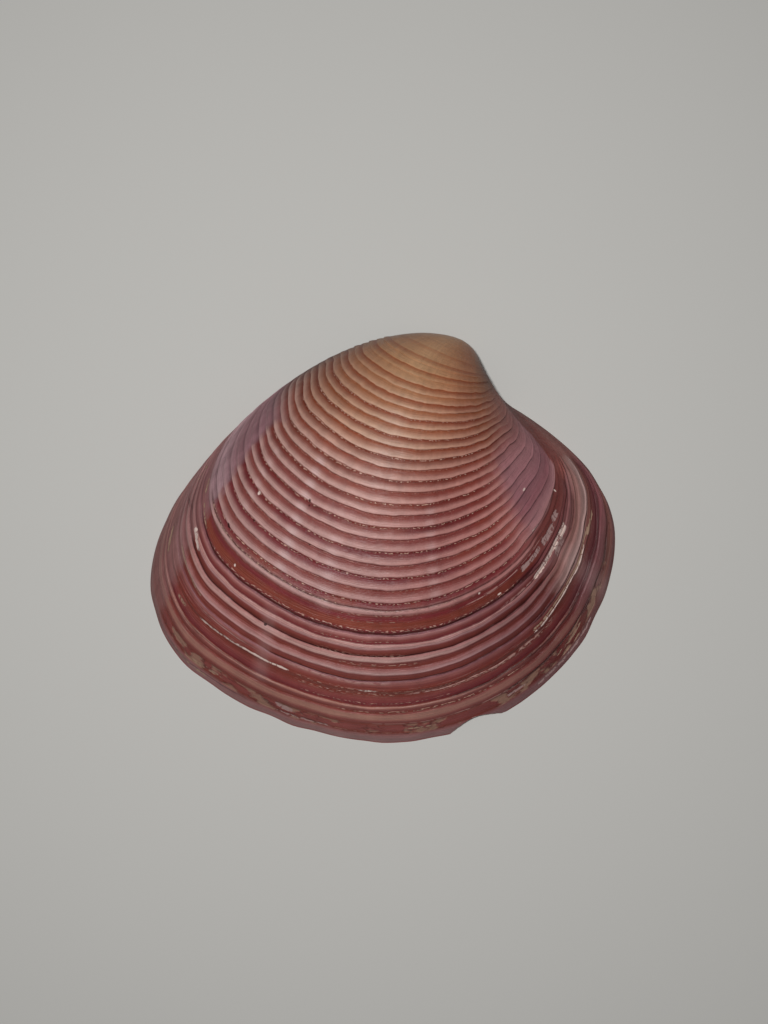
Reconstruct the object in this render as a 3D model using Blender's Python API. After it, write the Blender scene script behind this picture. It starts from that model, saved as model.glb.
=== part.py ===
"""Venus clam shell: one right valve, lying on its margin with the ribbed outside up.

The valve is the surface that its margin sweeps while it grows. Towards the beak the margin shrinks and turns
about a slanting axis through the beak at the same rate, so every growth line is a smaller, turned copy of it.
Ribs and growth checks follow the growth lines. "Share" is the share of full growth, one at the margin. "Place"
is where a point lies along the margin: 0 at the rear end, 5.5 at the middle of the lower edge, 10 at the front,
13 below the beak, and on to 18 along the hinge. Lengths are millimetres and become metres at the end. The front
end, with the beak leaning over it, points along +X, and the hinge side along +Y.
"""
import math

import bmesh
import bpy
import numpy as np
from mathutils import Vector
from mathutils.bvhtree import BVHTree

MM = 0.001

# Margin of the valve in its own plane: from the rear end, the lower edge, the front, and back along the hinge
MARGIN = [
    (-28.3, -1.2), (-30.2, -10.1), (-27.1, -18.2), (-20.0, -23.8), (-11.4, -27.7), (-2.5, -29.7),
    (6.8, -29.2), (15.2, -26.1), (22.7, -20.5), (27.7, -12.9), (29.95, -3.7), (27.4, 4.3),
    (20.5, 10.9), (12.6, 15.1), (3.4, 14.8), (-5.7, 13.0), (-14.5, 10.2), (-22.7, 6.1),
]
MARGIN_MIDDLE = (1.5, -6.2)
VALVE_MIDDLE = (-0.125, -3.506)

# Growth from the beak
BEAK = (11.5, 19.4, 1.1)
AXIS_TURN_DEG = 2.0
AXIS_LIFT_DEG = 23.0
GROWTH_PER_TURN = 1.03
GROWTH_SLOWING = 0.048
YOUNG_WIDER = 2.0
YOUNG_FRONT_SHORTER = 5.0
YOUNG_TALLER = 0.8
YOUNG_SKEW = 1.2
SMALLEST = 0.03

# Ribs: the hollow before rib n is at a share of full growth of start + step n + widening n squared
RIB_START = 0.268
RIB_STEP = 0.0335
RIB_WIDENING = 0.0008
FIRST_HALF_RIB = -4
LAST_HALF_RIB = 20
RIB_EDGE = -0.13
RIB_ROWS = [(0.03, 0.0), (0.25, 0.75), (0.44, 1.0)]
STRONG_RIB = 0.46
WEAK_RIB = 0.30
RIBS_SMALLEST_SHARE = 0.35
# Where the ribs fade, in margin places: the flank's rear end moves with growth, and past it they are faint
YOUNG_FLANK_END = 0.2
FLANK_END_SHIFT = 1.0
FLANK_END_SHARES = (0.35, 0.5)
REAR_FADE = 0.9
FLANK_FADE = 0.5
FRONT_FADE = (9.2, 11.2)
FAINT_RIBBING = 0.3
REAR_HINGE_FADE = (-2.2, -1.2)
FRONT_HINGE_FADE = (11.2, 12.8)

# Checks and bands between the last rib and the margin: share of full growth and height in millimetres
CHECKS = [
    (0.707, 0.10), (0.720, 0.14), (0.734, 0.20), (0.741, -0.16), (0.747, 0.24), (0.758, 0.18),
    (0.763, 0.02), (0.767, 0.32), (0.776, 0.14), (0.788, -0.10), (0.793, 0.36), (0.801, 0.28),
    (0.805, 0.02), (0.812, 0.02), (0.818, 0.30), (0.827, 0.22), (0.831, 0.05), (0.841, -0.10),
    (0.847, 0.14), (0.860, 0.14), (0.866, 0.30), (0.873, -0.08), (0.892, 0.06), (0.902, -0.08),
    (0.907, 0.22), (0.918, -0.02), (0.925, 0.18), (0.941, 0.16), (0.949, 0.00), (0.972, 0.02),
    (0.980, 0.14), (0.992, 0.10),
]

# Broken place in the lower edge, in margin places and share of growth lost
NOTCH_PLACE = 6.62
NOTCH_HALF_WIDTH = 0.40
NOTCH_DEPTH = 0.026
# Past this share of growth, the rows close up behind the broken edge
NOTCH_ROWS_START = 0.97
NOTCH_ROW_CLOSENESS = 0.02

# Inside
WALL = 1.5
# The wall under a slope is measured upright, down to this cosine of the slope, by rays from just over the cut
STEEPEST_WALL = 0.5
LOOK_UP_FROM = 0.02
RIM_WIDTH = 2.2
HINGE_RIM_WIDTH = 1.0
RIM_STEP_WIDTH = 0.25
HINGE_PLATE_WIDTH = 6.2
HINGE_PLATE_LOW = 0.9
HINGE_PLATE_HIGH = 3.0
PLATE_EDGE_WIDTH = 0.15
OPEN_SHELF_WIDTH = 0.5
# Heights over the cut of the rim step, shelf, shelf edge and lowest wall, away from the hinge
OPEN_STEPS = (0.12, 0.30, 0.50, 0.70)
# The pocket behind the hinge plate reaches back under it, and its roof is lower than the outside asks for
POCKET_REACH = 2.2
POCKET_LOWER = 0.4
POCKET_HIGH = 3.3
CAVITY_MIDDLE = (-1.0, -7.5)
CAVITY_RINGS = [0.10, 0.24, 0.42, 0.62, 0.82]

# Hinge teeth: middle in the plan, direction, length, width and height
TEETH = [
    ((13.3, 11.6), -68.0, 3.4, 0.9, 0.75),
    ((10.9, 11.2), -98.0, 3.8, 1.0, 0.75),
    ((8.0, 11.5), -142.0, 4.6, 0.9, 0.75),
    ((-2.0, 11.7), -168.5, 11.0, 0.8, 0.55),
]
# How deep a tooth is sunk in the plate, and its width at the top as a share of its width at the plate
TOOTH_ROOT = 0.5
TOOTH_TOP = 0.55

# Margin places between which the hinge plate comes and goes, and the places that the hinge has past the beak
HINGE_START = (12.2, 13.0)
HINGE_STOP = (15.2, 17.4)
HINGE_END = 3.0

# Edges with a sharper turn than this look sharp
SHARP_DEG = 50.0

# Places along the margin that get a column of points: evenly round the open side, more at the broken place
NOTCH_COLUMNS = [NOTCH_PLACE + off for off in (-NOTCH_HALF_WIDTH, -0.12, 0.16, NOTCH_HALF_WIDTH)]
HINGE_COLUMNS = [13.0, 13.5, 14.0, 14.75, 15.5, 16.25, 17.0, 17.5]
COLUMNS = sorted([0.5 * i for i in range(26)] + NOTCH_COLUMNS + HINGE_COLUMNS)


def smooth_step(low, high, value):
    share = min(max((value - low) / (high - low), 0.0), 1.0)
    return share * share * (3.0 - 2.0 * share)


def margin_point(place):
    """Point of the margin and its outward direction, on a curve through all the margin points."""
    count = len(MARGIN)
    start = int(math.floor(place))
    share = place - start
    a, b, c, d = [np.array(MARGIN[(start + k) % count]) for k in (-1, 0, 1, 2)]
    bend = 2.0 * a - 5.0 * b + 4.0 * c - d
    twist = 3.0 * b - a - 3.0 * c + d
    point = 0.5 * (2.0 * b + (c - a) * share + bend * share ** 2 + twist * share ** 3)
    along = (c - a) + 2.0 * bend * share + 3.0 * twist * share ** 2
    outward = np.array([along[1], -along[0]]) / math.hypot(*along)
    return point, outward


def turned(vector, angle):
    """The vector turned about the growth axis, so that the lower edge of the valve rises."""
    turn = math.radians(AXIS_TURN_DEG)
    lift = math.radians(AXIS_LIFT_DEG)
    axis = np.array([math.cos(turn) * math.cos(lift), -math.sin(turn) * math.cos(lift), math.sin(lift)])
    along = axis * vector.dot(axis)
    across = vector - along
    return along + math.cos(angle) * across + math.sin(angle) * np.cross(vector, axis)


def growth_point(share, place, height=0.0):
    """Point of the growth line at a share of full growth, raised outwards in the plane of that line."""
    point, outward = margin_point(place)
    from_middle = point - np.array(MARGIN_MIDDLE)
    bearing = math.atan2(from_middle[1], from_middle[0])
    young = (
        YOUNG_WIDER
        - YOUNG_FRONT_SHORTER * math.cos(bearing)
        + YOUNG_TALLER * math.sin(bearing)
        + YOUNG_SKEW * math.sin(2.0 * bearing)
    )
    flat = point + (1.0 - share) * young * from_middle / math.hypot(*from_middle) + outward * height / share
    beak = np.array(BEAK)
    slowness = -math.log(share)
    angle = slowness / GROWTH_PER_TURN - GROWTH_SLOWING * slowness ** 2
    return beak + share * turned(np.array([flat[0], flat[1], 0.0]) - beak, angle)


def hollow_share(number):
    return RIB_START + RIB_STEP * number + RIB_WIDENING * number ** 2


def ribbing(place, share):
    """How far the relief is developed: fully on the flank, faintly past its ends, not at the hinge."""
    place = (place + HINGE_END) % len(MARGIN) - HINGE_END
    flank_end = YOUNG_FLANK_END + FLANK_END_SHIFT * smooth_step(*FLANK_END_SHARES, share)
    rear = smooth_step(flank_end - REAR_FADE, flank_end + FLANK_FADE, place)
    front = 1.0 - smooth_step(*FRONT_FADE, place)
    faint = smooth_step(*REAR_HINGE_FADE, place) * (1.0 - smooth_step(*FRONT_HINGE_FADE, place))
    return max(FAINT_RIBBING * faint, rear * front)


def outer_rows():
    """Share of growth and relief of every row of the outside, from the beak to the margin."""
    rows = [(SMALLEST, 0.0), (0.05, 0.0), (0.075, 0.0), (0.105, 0.0), (0.14, 0.0)]
    for half_rib in range(FIRST_HALF_RIB, LAST_HALF_RIB + 1):
        edge = 0.5 * half_rib + RIB_EDGE
        size = STRONG_RIB if half_rib % 2 == 0 else WEAK_RIB
        growth = max(hollow_share(edge) / hollow_share(LAST_HALF_RIB / 2), RIBS_SMALLEST_SHARE)
        for step, height in RIB_ROWS:
            rows.append((hollow_share(edge + step), size * growth * height))
    return rows + CHECKS + [(1.0, 0.0)]


def end_share(place):
    """Share of growth that the margin reaches: all of it, less at the broken place."""
    off = (place - NOTCH_PLACE) / NOTCH_HALF_WIDTH
    return 1.0 - NOTCH_DEPTH * max(0.0, 1.0 - off ** 2)


def outer_loops(relief=True):
    loops = []
    for share, height in outer_rows():
        loop = []
        for place in COLUMNS:
            reached = share
            if share > NOTCH_ROWS_START:
                reached = min(share, end_share(place) - NOTCH_ROW_CLOSENESS * (1.0 - share))
            raised = height * ribbing(place, share) if relief else 0.0
            loop.append(growth_point(reached, place, raised))
        loops.append(loop)
    return loops


def hinge_share(place):
    """One along the hinge plate, nought round the open margin."""
    return smooth_step(*HINGE_START, place) * (1.0 - smooth_step(*HINGE_STOP, place))


def inset_point(place, inset):
    point, outward = margin_point(place)
    return point - outward * inset


def plain_outside():
    """The outside without its relief, for placing the inside under it."""
    loops = outer_loops(relief=False)
    points = [Vector(p) for loop in loops for p in loop]
    width = len(COLUMNS)
    faces = []
    for row in range(len(loops) - 1):
        for column in range(width):
            after = (column + 1) % width
            low = row * width
            faces.append((low + column, low + after, low + width + after, low + width + column))
    return BVHTree.FromPolygons(points, faces)


def roof_height(tree, x, y):
    """Height of the inside over a point of the plan: the outside, less the wall measured square to it."""
    hit, normal, _, _ = tree.ray_cast(Vector((x, y, LOOK_UP_FROM)), Vector((0.0, 0.0, 1.0)))
    if hit is None:
        return 0.0
    return max(hit.z - WALL / max(abs(normal.z), STEEPEST_WALL), 0.0)


def between(first, second, share):
    return first + (second - first) * share


def inner_loops():
    """Rings of the inside: flat rim, step up to the hinge plate, its edge, and rings up under the roof."""
    tree = plain_outside()
    rim = []
    step = []
    plate = []
    under = []
    wall = []
    rim_step, shelf, shelf_edge, low_wall = OPEN_STEPS
    for place in COLUMNS:
        hinge = hinge_share(place)
        rim_width = between(RIM_WIDTH, HINGE_RIM_WIDTH, hinge)
        plate_width = between(OPEN_SHELF_WIDTH + rim_width, HINGE_PLATE_WIDTH, hinge)
        cut = growth_point(end_share(place), place)[2]
        x, y = inset_point(place, rim_width)
        rim.append((x, y, cut))
        x, y = inset_point(place, rim_width + RIM_STEP_WIDTH)
        step.append((x, y, cut + between(rim_step, HINGE_PLATE_LOW, hinge)))
        x, y = inset_point(place, plate_width)
        plate.append((x, y, cut + between(shelf, HINGE_PLATE_LOW, hinge)))
        x, y = inset_point(place, plate_width + PLATE_EDGE_WIDTH)
        under.append((x, y, cut + between(shelf_edge, HINGE_PLATE_HIGH, hinge)))
        x, y = inset_point(place, plate_width + OPEN_SHELF_WIDTH - POCKET_REACH * hinge)
        lowest = cut + between(low_wall, POCKET_HIGH, hinge)
        wall.append((x, y, max(roof_height(tree, x, y) * (1.0 - POCKET_LOWER * hinge), lowest)))
    loops = [rim, step, plate, under, wall]
    for share in CAVITY_RINGS:
        ring = []
        for x, y, _ in wall:
            x = between(x, CAVITY_MIDDLE[0], share)
            y = between(y, CAVITY_MIDDLE[1], share)
            ring.append((x, y, roof_height(tree, x, y)))
        loops.append(ring)
    top = (*CAVITY_MIDDLE, roof_height(tree, *CAVITY_MIDDLE))
    return loops, top


def bridge(mesh, first, second):
    count = len(first)
    for column in range(count):
        after = (column + 1) % count
        mesh.faces.new((first[column], first[after], second[after], second[column]))


def fan(mesh, loop, tip):
    count = len(loop)
    for column in range(count):
        mesh.faces.new((loop[column], loop[(column + 1) % count], tip))


def placed(point):
    return Vector(((point[0] - VALVE_MIDDLE[0]) * MM, (point[1] - VALVE_MIDDLE[1]) * MM, point[2] * MM))


def make_valve():
    mesh = bmesh.new()
    inner, top = inner_loops()
    loops = outer_loops() + inner
    rings = [[mesh.verts.new(placed(p)) for p in loop] for loop in loops]
    for first, second in zip(rings, rings[1:]):
        bridge(mesh, first, second)
    beak = np.mean([growth_point(SMALLEST, place) for place in COLUMNS], axis=0)
    fan(mesh, rings[0][::-1], mesh.verts.new(placed(beak)))
    fan(mesh, rings[-1], mesh.verts.new(placed(top)))
    bmesh.ops.recalc_face_normals(mesh, faces=mesh.faces[:])
    data = bpy.data.meshes.new("right_valve")
    mesh.to_mesh(data)
    mesh.free()
    return bpy.data.objects.new("right_valve", data)


def make_tooth(middle, direction, length, width, height):
    """A ridge with sloping flanks that stands down from the hinge plate."""
    mesh = bmesh.new()
    turn = math.radians(direction)
    along = np.array([math.cos(turn), math.sin(turn)])
    across = np.array([-along[1], along[0]])
    rings = []
    root = HINGE_PLATE_LOW + TOOTH_ROOT
    for level, shrink in ((root, 1.0), (HINGE_PLATE_LOW, 1.0), (HINGE_PLATE_LOW - height, TOOTH_TOP)):
        ring = []
        for u, v in ((-1, -1), (1, -1), (1, 1), (-1, 1)):
            flat = np.array(middle) + along * u * (length / 2 - (1 - shrink) * width / 2)
            flat = flat + across * v * shrink * width / 2
            ring.append(mesh.verts.new(placed((flat[0], flat[1], level))))
        rings.append(ring)
    for first, second in zip(rings, rings[1:]):
        bridge(mesh, first, second)
    mesh.faces.new(rings[0])
    mesh.faces.new(rings[-1][::-1])
    bmesh.ops.recalc_face_normals(mesh, faces=mesh.faces[:])
    data = bpy.data.meshes.new("tooth")
    mesh.to_mesh(data)
    mesh.free()
    return bpy.data.objects.new("tooth", data)


def join(valve, tool, scene):
    scene.collection.objects.link(tool)
    step = valve.modifiers.new("tooth", "BOOLEAN")
    step.operation = "UNION"
    step.solver = "EXACT"
    step.object = tool
    bpy.context.view_layer.update()
    graph = bpy.context.evaluated_depsgraph_get()
    joined = bpy.data.meshes.new_from_object(valve.evaluated_get(graph))
    valve.modifiers.clear()
    valve.data = joined
    bpy.data.objects.remove(tool)


def shell_material():
    material = bpy.data.materials.new("shell")
    material.use_nodes = True
    surface = material.node_tree.nodes["Principled BSDF"]
    surface.inputs["Base Color"].default_value = (0.27, 0.14, 0.12, 1.0)
    surface.inputs["Roughness"].default_value = 0.45
    return material


def main():
    for old in list(bpy.data.objects):
        bpy.data.objects.remove(old)
    scene = bpy.context.scene
    collection = bpy.data.collections.new("right_valve")
    scene.collection.children.link(collection)
    valve = make_valve()
    collection.objects.link(valve)
    for tooth in TEETH:
        join(valve, make_tooth(*tooth), scene)
    valve.data.name = "right_valve"
    valve.data.materials.clear()
    valve.data.materials.append(shell_material())
    valve.data.shade_smooth()
    valve.data.set_sharp_from_angle(angle=math.radians(SHARP_DEG))


main()
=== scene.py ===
"""Looks of the venus clam shell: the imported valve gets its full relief, colours and finish.

The visible shell is one closed mesh that stands for the CAD valve and follows the same growth rule. The
margin shrinks towards the beak and turns about a slanting axis through it, so every growth line is a smaller,
turned copy of the margin. "Share" is the share of full growth, nought at the beak and one at the margin.
"Place" is where a point lies along the margin: 0 at the rear end, 5.5 at the middle of the lower edge, 10 at
the front, 13 below the beak, and on to 18 along the hinge. The flank lies between places 1.5 and 9, with the
rear slope before it and the smooth field before the beak, the lunule, from place 11 on. Lengths are
millimetres, until placed() makes them the frame's metres.
"""

import math

import bpy
import numpy as np
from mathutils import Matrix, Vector
from mathutils.bvhtree import BVHTree


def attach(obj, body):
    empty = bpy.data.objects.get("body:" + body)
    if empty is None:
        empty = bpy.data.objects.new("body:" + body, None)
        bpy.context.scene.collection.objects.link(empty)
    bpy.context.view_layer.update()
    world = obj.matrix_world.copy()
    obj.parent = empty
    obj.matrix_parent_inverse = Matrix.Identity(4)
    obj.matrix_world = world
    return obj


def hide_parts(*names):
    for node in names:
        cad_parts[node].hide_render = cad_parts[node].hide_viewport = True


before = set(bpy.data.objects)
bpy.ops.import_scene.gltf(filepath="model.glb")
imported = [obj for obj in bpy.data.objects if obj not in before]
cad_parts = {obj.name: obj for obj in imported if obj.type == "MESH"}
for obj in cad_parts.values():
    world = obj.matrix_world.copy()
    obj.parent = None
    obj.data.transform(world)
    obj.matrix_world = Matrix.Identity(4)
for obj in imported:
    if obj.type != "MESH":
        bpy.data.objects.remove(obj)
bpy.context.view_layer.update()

MM = 0.001

# Margin and growth of the valve, as in the CAD source
MARGIN = np.array([
    (-28.3, -1.2), (-30.2, -10.1), (-27.1, -18.2), (-20.0, -23.8), (-11.4, -27.7), (-2.5, -29.7),
    (6.8, -29.2), (15.2, -26.1), (22.7, -20.5), (27.7, -12.9), (29.95, -3.7), (27.4, 4.3),
    (20.5, 10.9), (12.6, 15.1), (3.4, 14.8), (-5.7, 13.0), (-14.5, 10.2), (-22.7, 6.1),
])
MARGIN_MIDDLE = np.array((1.5, -6.2))
VALVE_MIDDLE = np.array((-0.125, -3.506, 0.0))
BEAK = np.array((11.5, 19.4, 1.1))
AXIS_TURN_DEG = 2.0
AXIS_LIFT_DEG = 23.0
GROWTH_PER_TURN = 1.03
GROWTH_SLOWING = 0.048
YOUNG_WIDER = 2.0
YOUNG_FRONT_SHORTER = 5.0
YOUNG_TALLER = 0.8
YOUNG_SKEW = 1.2
SMALLEST = 0.03

# Ribs: the hollow before rib n is at a share of full growth of start + step n + widening n squared
RIB_START = 0.268
RIB_STEP = 0.0335
RIB_WIDENING = 0.0008
FIRST_HALF_RIB = -4
LAST_HALF_RIB = 20
RIB_EDGE = -0.13
STRONG_RIB = 0.46
WEAK_RIB = 0.3
RIBS_SMALLEST_SHARE = 0.35
# Cross-section of half a rib from its sharp edge on: part of the half rib passed, and part of its height
RIB_SECTION = [
    (0.03, 0.0), (0.12, 0.03), (0.26, 0.22), (0.42, 0.55), (0.58, 0.82), (0.74, 0.97), (0.87, 1.0),
    (0.95, 0.94), (0.99, 0.72),
]
# Where the ribs fade, in margin places: the flank's rear end moves with growth, and past it they are faint
YOUNG_FLANK_END = 0.2
FLANK_END_SHIFT = 1.0
FLANK_END_SHARES = (0.35, 0.5)
REAR_FADE = 0.9
FLANK_FADE = 0.5
FAINT_RIBBING = 0.3
REAR_HINGE_FADE = (-2.2, -1.2)
FRONT_HINGE_FADE = (11.2, 12.8)
# On the front the weak ribs end and the strong ones become plates, which overlap like tiles
PLATES_START = (8.7, 9.6)
PLATES_END = (10.5, 11.2)
PLATE_LOWEST = 0.15
PLATES_HIDE = 0.8

# Plain rows of points at the beak, up to a share of growth
BEAK_ROWS = 14
BEAK_ROWS_END = 0.19

# Checks and bands between the last rib and the margin: share of full growth and height in millimetres
CHECKS = [
    (0.707, 0.1), (0.72, 0.14), (0.734, 0.2), (0.741, -0.16), (0.747, 0.24), (0.758, 0.18),
    (0.763, 0.02), (0.767, 0.32), (0.776, 0.14), (0.788, -0.1), (0.793, 0.36), (0.801, 0.28),
    (0.805, 0.02), (0.812, 0.02), (0.818, 0.3), (0.827, 0.22), (0.831, 0.05), (0.841, -0.1),
    (0.847, 0.14), (0.86, 0.14), (0.866, 0.3), (0.873, -0.08), (0.892, 0.06), (0.902, -0.08),
    (0.907, 0.22), (0.918, -0.02), (0.925, 0.18), (0.941, 0.16), (0.949, 0.0), (0.972, 0.02),
    (0.98, 0.14), (0.992, 0.1),
]
CHECK_ROW_SPACING = 0.0024
# Relief ends before the margin, which is worn down a little round its open side and stays on the floor
RELIEF_END = (0.985, 1.0)
MARGIN_WORN = 0.12
WORN_SHARES = (0.94, 1.0)
WORN_PLACES = ((-1.0, 0.0), (11.0, 12.0))
LOWEST = 0.0

# Where growth lines stray from the even rule: share of growth that they stray by, and the places and the
# shares between which this comes and goes
STRAYS = [
    (0.042, ((-5.0, -4.0), (-0.3, 1.25)), ((0.1, 0.3), (0.45, 0.62))),
    (0.022, ((9.3, 10.5), (11.8, 13.0)), ((0.3, 0.45), (0.64, 0.69))),
    (0.036, ((9.9, 11.0), (11.8, 13.0)), ((0.795, 0.85), (0.93, 0.995))),
]
# Waves: size, length in place and in share, and number of the noise. The lines' waves are shares of growth,
# and those of the ribs and the worn margin are parts of their height.
LINE_WAVES = [(0.0012, 0.55, 0.02, 1), (0.0008, 0.19, 0.011, 2)]
RAGGED_WAVE = (0.003, 0.3, 0.03, 4)
RIB_WAVES = [(0.16, 0.5, 0.017, 3), (0.12, 0.17, 0.03, 5)]
WORN_WAVE = (1.0, 0.33, 1.0, 6)
WAVE_SHARES = ((0.15, 0.3), (0.96, 0.99))
WAVE_PLACES = ((-2.2, -1.2), (11.0, 12.0))
# The lines are ragged from the front on, and a little near the margin
RAGGED_PLACES = (8.1, 8.9)
RAGGED_SHARES = (0.7, 0.73)
RAGGED_MARGIN = 0.25

# Raised points stay over their own growth line: how far ahead the slope is read and how far they move at
# most, in share, and how many millimetres of plan all growth has to take for a slope to count as flat
SLOPE_REACH = 0.002
MOST_KEEPING = 0.012
STEEP_TO_FLAT = (12.0, 24.0)
SHORTEST_SLOPE = 1.0

# Broken place in the lower edge, in margin places and share of growth lost
NOTCH_PLACE = 6.62
NOTCH_HALF_WIDTH = 0.4
NOTCH_DEPTH = 0.026
# Past this share of growth, the rows close up behind the broken edge
NOTCH_ROWS_START = 0.97
NOTCH_ROW_CLOSENESS = 0.02

# Flaked places: place and share at one end, the same at the other end, half width in share, and strength.
# The wider chalky and grey ones are chips in the relief too.
CHALKY_FLAKES = [
    (1.35, 0.767, 1.72, 0.776, 0.006, 0.9), (2.22, 0.872, 2.95, 0.867, 0.0024, 0.85),
    (2.95, 0.866, 3.88, 0.864, 0.0024, 0.85), (4.97, 0.8665, 5.3, 0.8665, 0.0022, 0.8),
    (7.97, 0.8665, 9.65, 0.8625, 0.002, 0.9),
    (8.5, 0.761, 9.6, 0.756, 0.0055, 0.95), (9.16, 0.762, 9.64, 0.762, 0.01, 1.1),
    (8.98, 0.672, 9.2, 0.679, 0.003, 0.8),
]
TAN_FLAKES = [
    (0.8, 0.711, 1.05, 0.721, 0.0045, 0.9), (1.2, 0.724, 1.7, 0.733, 0.0035, 0.65),
    (1.3, 0.822, 2.15, 0.832, 0.003, 0.85), (7.97, 0.86, 9.8, 0.857, 0.0028, 0.85),
    (9.75, 0.858, 10.28, 0.878, 0.006, 0.8), (0.62, 0.878, 1.0, 0.893, 0.007, 0.7),
    (1.68, 0.89, 1.95, 0.883, 0.004, 0.8), (5.6, 0.961, 6.05, 0.962, 0.0032, 0.6),
    (2.3, 0.972, 2.9, 0.962, 0.005, 0.5), (8.05, 0.962, 8.75, 0.962, 0.0036, 0.55),
    (8.15, 0.975, 9.0, 0.973, 0.0026, 0.6), (1.9, 0.983, 2.7, 0.986, 0.005, 0.5),
    (0.1, 0.75, 0.45, 0.8, 0.014, 0.5),
]
GREY_FLAKES = [
    (8.32, 0.721, 8.98, 0.721, 0.007, 0.7), (9.03, 0.722, 9.48, 0.722, 0.01, 0.7),
    (9.5, 0.715, 9.72, 0.722, 0.01, 0.8), (9.12, 0.779, 9.46, 0.779, 0.008, 0.8),
    (7.16, 0.961, 7.5, 0.962, 0.0042, 0.7),
    (3.68, 0.957, 3.96, 0.958, 0.006, 0.8), (7.6, 0.985, 8.9, 0.984, 0.005, 0.6),
    (3.66, 0.972, 4.6, 0.971, 0.0035, 0.6),
]
DEEP_FLAKE = 0.003
CHIP_DEPTH = 0.1
CHIP_EDGE = (0.001, 0.003)
CHIP_END = (0.12, 0.06)

# Thin dark lines, thin pale lines that are painted highlights on small ridges, and rows of tiny raised beads
# with painted glints on them, along the growth lines and given as flakes are
DARK_LINES = [
    (1.5, 0.741, 8.35, 0.74, 0.0014, 0.6), (8.3, 0.743, 8.7, 0.748, 0.0018, 0.9),
    (8.7, 0.7485, 10.4, 0.747, 0.0016, 0.9), (1.5, 0.7878, 8.5, 0.787, 0.001, 0.8),
    (8.3, 0.7885, 10.2, 0.7895, 0.0012, 0.7), (3.6, 0.842, 8.3, 0.841, 0.0009, 0.8),
    (8.2, 0.847, 11.1, 0.849, 0.0017, 0.9), (1.7, 0.853, 3.2, 0.852, 0.001, 0.5),
    (6.5, 0.902, 7.9, 0.906, 0.0016, 0.8), (7.8, 0.908, 8.9, 0.909, 0.0016, 0.85),
    (8.8, 0.905, 10.6, 0.906, 0.0016, 0.7), (7.3, 0.948, 8.95, 0.9465, 0.0016, 0.85),
    (8.95, 0.952, 10.4, 0.954, 0.0018, 0.8), (1.4, 0.6905, 9.0, 0.6905, 0.0008, 0.7),
    (9.4, 0.6875, 10.5, 0.687, 0.0016, 0.6), (0.5, 0.82, 0.9, 0.778, 0.002, 0.6),
    (2.0, 0.906, 3.2, 0.904, 0.0009, 0.5), (1.3, 0.99, 3.2, 0.979, 0.0012, 0.5),
]
# The pale lines are painted highlights on small ridges
RIDGE_HIGHLIGHT_LINES = [
    (7.2, 0.715, 8.3, 0.711, 0.0012, 0.7), (8.28, 0.7095, 8.95, 0.709, 0.0012, 0.6),
    (1.9, 0.7642, 7.9, 0.7642, 0.0008, 0.6), (3.2, 0.8255, 5.6, 0.8255, 0.0008, 0.6),
    (4.0, 0.7705, 6.5, 0.7705, 0.0007, 0.4), (5.3, 0.947, 6.05, 0.947, 0.0012, 0.5),
    (6.45, 0.947, 7.35, 0.947, 0.0012, 0.6), (2.3, 0.8525, 3.0, 0.8525, 0.0008, 0.5),
    (3.9, 0.8478, 5.3, 0.8478, 0.0022, 0.5), (5.9, 0.8745, 7.95, 0.877, 0.0013, 0.9),
    (7.85, 0.76, 8.5, 0.759, 0.0016, 0.7),
]
# Rows of tiny raised beads that carry painted glints
GLINT_BEAD_LINES = [
    (1.6, 0.69, 4.6, 0.6895, 0.0012, 0.8), (5.2, 0.6935, 6.8, 0.6935, 0.001, 0.6),
    (4.7, 0.705, 5.7, 0.705, 0.0009, 0.6), (4.6, 0.7168, 5.7, 0.7168, 0.0009, 0.6),
    (2.0, 0.7355, 8.0, 0.7355, 0.0024, 0.8), (4.4, 0.7575, 5.5, 0.7575, 0.001, 0.6),
    (4.8, 0.806, 5.8, 0.806, 0.001, 0.8), (4.2, 0.895, 6.25, 0.895, 0.0011, 0.8),
    (4.8, 0.917, 7.4, 0.9165, 0.0014, 0.9), (4.1, 0.866, 4.9, 0.866, 0.0012, 0.6),
    (5.4, 0.8695, 6.4, 0.8695, 0.0009, 0.6), (4.1, 0.876, 5.4, 0.875, 0.0018, 0.5),
    (6.4, 0.879, 8.3, 0.88, 0.0022, 0.5), (4.4, 0.787, 5.6, 0.787, 0.001, 0.5),
    (4.6, 0.972, 5.4, 0.972, 0.001, 0.5),
]
# Pale streaks across the ribs: place, half width, share at both ends, and strength. The streak at place 9.3
# is a painted highlight, where the surface faces the lamp.
RAYS_AND_SHEEN = [
    (3.4, 0.18, 0.47, 0.67, 0.62), (3.42, 0.18, 0.77, 0.9, 0.22), (4.3, 0.22, 0.58, 0.69, 0.36),
    (2.25, 0.16, 0.52, 0.62, 0.3), (6.45, 0.2, 0.5, 0.68, 0.28), (9.3, 0.26, 0.8, 0.985, 0.2),
    (5.0, 0.7, 0.34, 0.5, 0.1),
]
# How far from its middle line, in share, a mark is laid on the mesh
MARK_REACH = (0.0026, 0.0034)
FLAKE_SOFT = 0.003
FLAKE_END_SOFT = 0.07
LINE_FADE = 0.25
RAY_FADE = 0.03
RAY_CORE = 0.1

# Inside
WALL = 1.5
STEEPEST_WALL = 0.5
LOOK_UP_FROM = 0.02
RIM_WIDTH = 2.2
HINGE_RIM_WIDTH = 1.0
RIM_STEP_WIDTH = 0.25
HINGE_PLATE_WIDTH = 6.2
HINGE_PLATE_LOW = 0.9
HINGE_PLATE_HIGH = 3.0
PLATE_EDGE_WIDTH = 0.15
OPEN_SHELF_WIDTH = 0.5
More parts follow.
